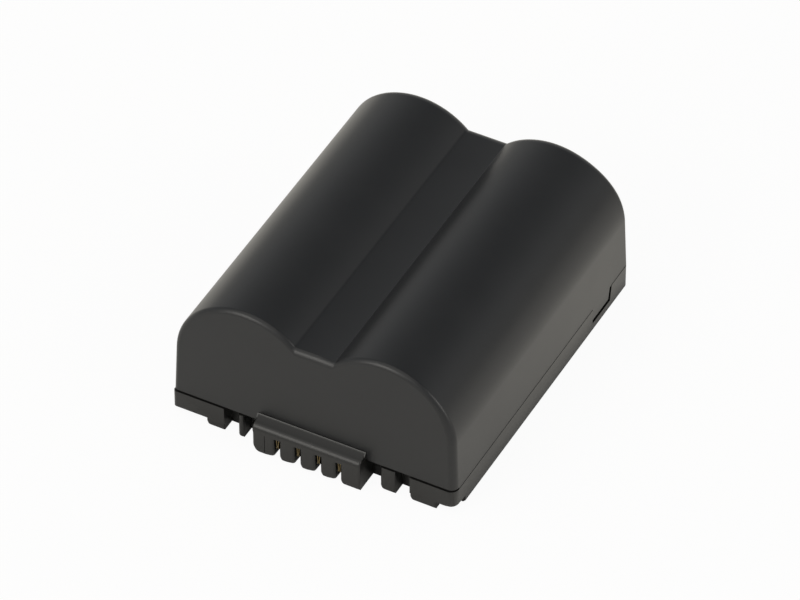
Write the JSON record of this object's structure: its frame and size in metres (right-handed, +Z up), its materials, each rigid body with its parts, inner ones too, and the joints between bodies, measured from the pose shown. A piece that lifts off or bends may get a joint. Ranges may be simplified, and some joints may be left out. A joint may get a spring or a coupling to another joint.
{
  "type": "camera battery",
  "caption": "Flat rechargeable camera battery with rounded humps over its cells, a valley between them, and a slotted contact nose with guide ribs at one end.",
  "frame": {"origin": "middle of the flat base, below the centre of the whole length", "axes": "+X across the pack, +Y along it away from the contact nose, +Z up from the base to the humps"},
  "size_m": [0.035, 0.0434, 0.0182],
  "materials": {
    "shell_plastic": "fine moulded matte",
    "tray_plastic": "fine moulded matte",
    "contact_plating": "gold-coloured plating",
    "nickel_strip": "rolled nickel",
    "cell_can": "drawn steel can",
    "cell_sleeve": "shrink film",
    "insulating_paper": "pressed paper",
    "board_laminate": "solder-masked laminate",
    "chip_moulding": "moulded resin",
    "passive_ceramic": "fired ceramic",
    "foam": "closed-cell foam"
  },
  "bodies": {
    "root": {"upper_shell": "shell_plastic", "base_tray": "tray_plastic", "contact_plus": "contact_plating", "contact_data": "contact_plating", "contact_thermal": "contact_plating", "contact_minus": "contact_plating", "cell_left": "cell_can", "cell_right": "cell_can", "sleeve_left": "cell_sleeve", "sleeve_right": "cell_sleeve", "cap_washer_left": "insulating_paper", "cap_washer_right": "insulating_paper", "cell_tape_left": "foam", "cell_tape_right": "foam", "series_link": "nickel_strip", "midpoint_strip": "nickel_strip", "negative_tab": "nickel_strip", "positive_tab": "nickel_strip", "protection_board": "board_laminate", "protection_chip": "chip_moulding", "switch_chip": "chip_moulding", "overcurrent_fuse": "chip_moulding", "chip_resistors": "passive_ceramic", "chip_capacitors": "passive_ceramic", "heat_sensor": "passive_ceramic", "board_insulator": "insulating_paper", "rear_insulator": "insulating_paper", "rear_cushion": "foam"}
  },
  "joints": []
}
